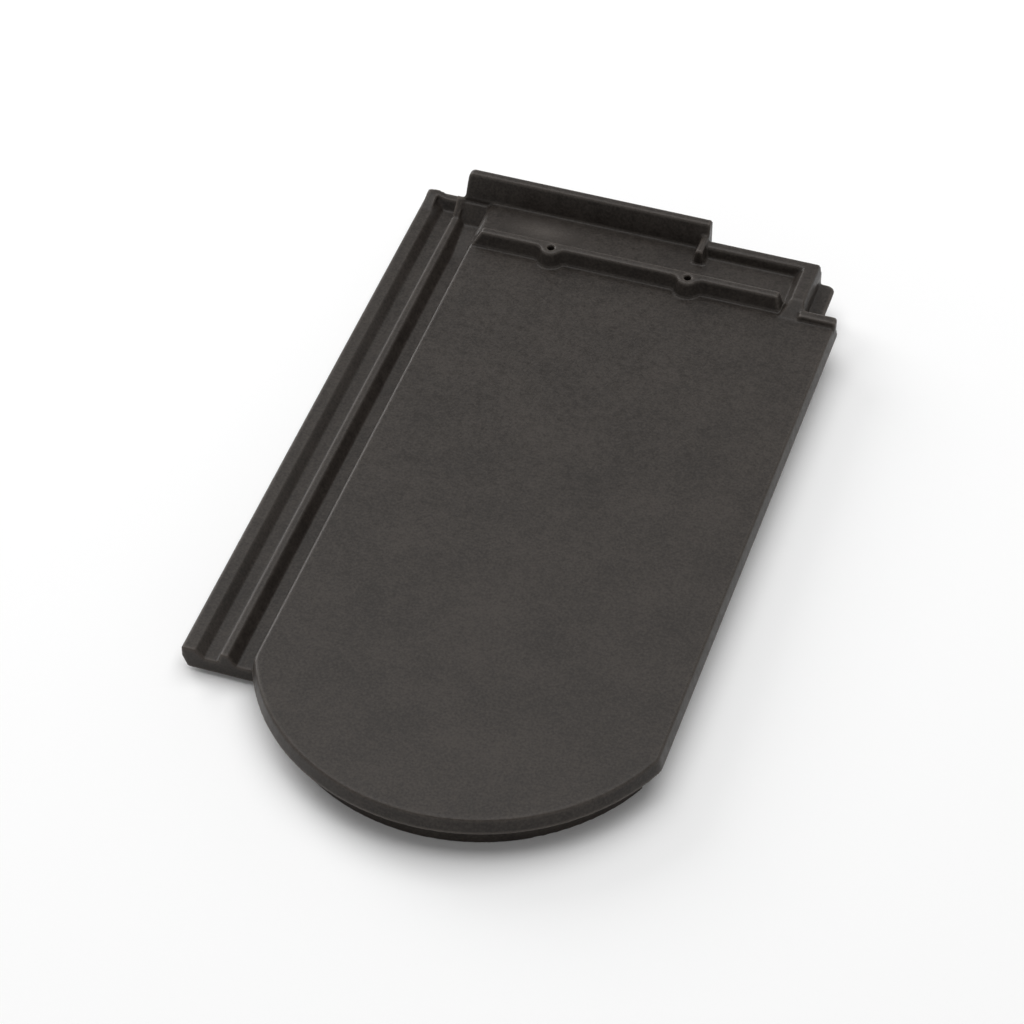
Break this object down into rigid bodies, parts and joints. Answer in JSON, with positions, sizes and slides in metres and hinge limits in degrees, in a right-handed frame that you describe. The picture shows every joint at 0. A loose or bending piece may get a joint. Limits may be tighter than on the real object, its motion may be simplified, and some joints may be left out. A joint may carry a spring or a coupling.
{
  "type": "round-tail interlocking flat roof tile",
  "caption": "Flat clay roof tile with a round-cut tail, a side lock along the left edge, a cover fold under the right edge, and a head with a cross ridge, nail holes and closing ribs.",
  "frame": {"origin": "centre of the plan box, at the level of the tail foot and the nibs that the tile rests on", "axes": "+X from the side lock to the cover fold, +Y from the round tail to the head, +Z out of the weather face"},
  "size_m": [0.2472, 0.4368, 0.0394],
  "materials": {
    "engobed_clay": "fired clay with an anthracite engobe, matt to satin"
  },
  "bodies": {
    "root": {"tile_body": "engobed_clay"}
  },
  "joints": []
}
